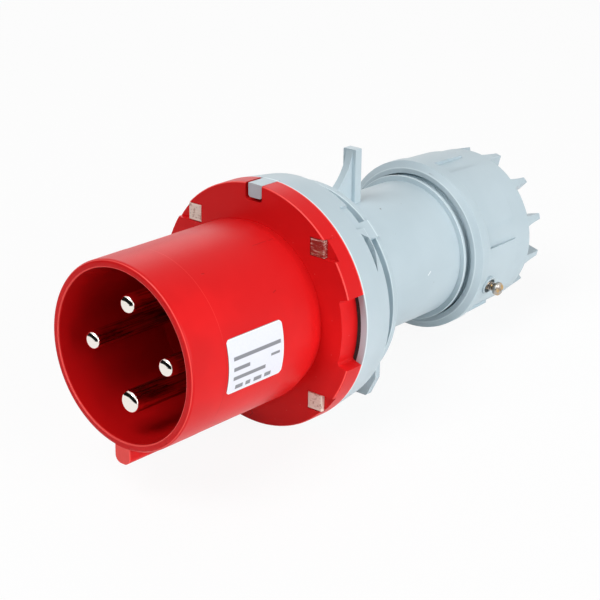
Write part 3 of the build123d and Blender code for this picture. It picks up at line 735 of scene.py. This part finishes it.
def floor_and_backdrop():
    """A pale floor under the plug, tilted as the ground is under a plug that lies down."""
    slope = atan2(flange_radius - rest_nut_drop, rest_nut_y - flange_rear_y)
    mesh = bpy.data.meshes.new("floor")
    half = floor_size / 2
    corners = [(-half, -half, 0), (half, -half, 0), (half, half, 0), (-half, half, 0)]
    rim = Matrix.Translation((0, flange_rear_y * MM, -flange_radius * MM))
    turn = rim @ Matrix.Rotation(slope, 4, "X")
    mesh.from_pydata([turn @ Vector(corner) for corner in corners], [], [(0, 1, 2, 3)])
    floor = bpy.data.objects.new("floor", mesh)
    scene.collection.objects.link(floor)
    finish = Finish("floor_paper")
    paths = finish.node("ShaderNodeLightPath")
    seen = Number(finish, paths.outputs["Is Camera Ray"]) + Number(finish, paths.outputs["Is Glossy Ray"])
    paper = finish.node("ShaderNodeBsdfDiffuse", {}, {"Color": paper_colour})
    glow = finish.node("ShaderNodeEmission", {}, {"Color": white, "Strength": 1.0})
    blend = finish.node(
        "ShaderNodeMixShader",
        {},
        {0: seen.maths("MINIMUM", 1.0) * floor_glow, 1: paper.outputs[0], 2: glow.outputs[0]},
    )
    finish.tree.links.new(blend.outputs[0], finish.output.inputs["Surface"])
    mesh.materials.append(finish.material)


def dark_card():
    """A black studio card with a flap before the mouth: the dark band in the polished pins."""
    mesh = bpy.data.meshes.new("dark_card")
    corners = [(x, y, z) for x, y in card_folds for z in (card_foot, card_top)]
    flap = len(corners)
    corners += [(x * flap_share, y * flap_share, flap_height) for x, y in card_folds]
    faces = []
    for n in range(len(card_folds) - 1):
        faces.append((2 * n, 2 * n + 2, 2 * n + 3, 2 * n + 1))
        faces.append((flap + n, flap + n + 1, 2 * n + 2, 2 * n))
    mesh.from_pydata(corners, [], faces)
    card = bpy.data.objects.new("dark_card", mesh)
    card.visible_camera = False
    card.visible_shadow = False
    scene.collection.objects.link(card)
    finish = Finish("card_black")
    felt = finish.node("ShaderNodeBsdfDiffuse", {}, {"Color": card_colour})
    finish.tree.links.new(felt.outputs[0], finish.output.inputs["Surface"])
    mesh.materials.append(finish.material)


def world_light():
    """Even white surroundings: seen as white, and dimmer as a lamp."""
    world = bpy.data.worlds.new("studio")
    world.use_nodes = True
    tree = world.node_tree
    tree.nodes.clear()
    output = tree.nodes.new("ShaderNodeOutputWorld")
    paths = tree.nodes.new("ShaderNodeLightPath")
    lit = tree.nodes.new("ShaderNodeBackground")
    lit.inputs["Color"].default_value = (*white, 1.0)
    lit.inputs["Strength"].default_value = world_strength
    shown = tree.nodes.new("ShaderNodeBackground")
    shown.inputs["Color"].default_value = (*white, 1.0)
    shown.inputs["Strength"].default_value = 1.0
    blend = tree.nodes.new("ShaderNodeMixShader")
    seen = paths.outputs["Is Camera Ray"]
    for kind in ("Is Glossy Ray", "Is Transmission Ray"):
        either = tree.nodes.new("ShaderNodeMath")
        either.operation = "MAXIMUM"
        tree.links.new(seen, either.inputs[0])
        tree.links.new(paths.outputs[kind], either.inputs[1])
        seen = either.outputs[0]
    tree.links.new(seen, blend.inputs[0])
    tree.links.new(lit.outputs[0], blend.inputs[1])
    tree.links.new(shown.outputs[0], blend.inputs[2])
    tree.links.new(blend.outputs[0], output.inputs["Surface"])
    scene.world = world


def softbox(name, place, size, power):
    """A square studio lamp that faces the plug."""
    lamp = bpy.data.lights.new(name, "AREA")
    lamp.shape = "SQUARE"
    lamp.size = size
    lamp.energy = power
    holder = bpy.data.objects.new(name, lamp)
    facing = (Vector(plug_middle) - Vector(place)).to_track_quat("-Z", "Y")
    holder.matrix_world = Matrix.Translation(place) @ facing.to_matrix().to_4x4()
    scene.collection.objects.link(holder)


def photo_camera():
    """The photograph's camera, worked out from the round outlines of the plug."""
    back = Vector(
        (
            sin(camera_azimuth) * cos(camera_elevation),
            -cos(camera_azimuth) * cos(camera_elevation),
            sin(camera_elevation),
        )
    )
    level = Vector((cos(camera_azimuth), sin(camera_azimuth), 0))
    right = cos(camera_roll) * level + sin(camera_roll) * back.cross(level)
    lens = bpy.data.cameras.new("photo_camera")
    lens.lens = camera_lens
    lens.sensor_width = sensor_width
    holder = bpy.data.objects.new("photo_camera", lens)
    turn = Matrix((right, back.cross(right), back)).transposed()
    holder.matrix_world = Matrix.Translation(camera_place) @ turn.to_4x4()
    scene.collection.objects.link(holder)
    scene.camera = holder


floor_and_backdrop()
world_light()
dark_card()
for lamp_settings in lamps:
    softbox(*lamp_settings)
photo_camera()
scene.view_settings.view_transform = "Standard"
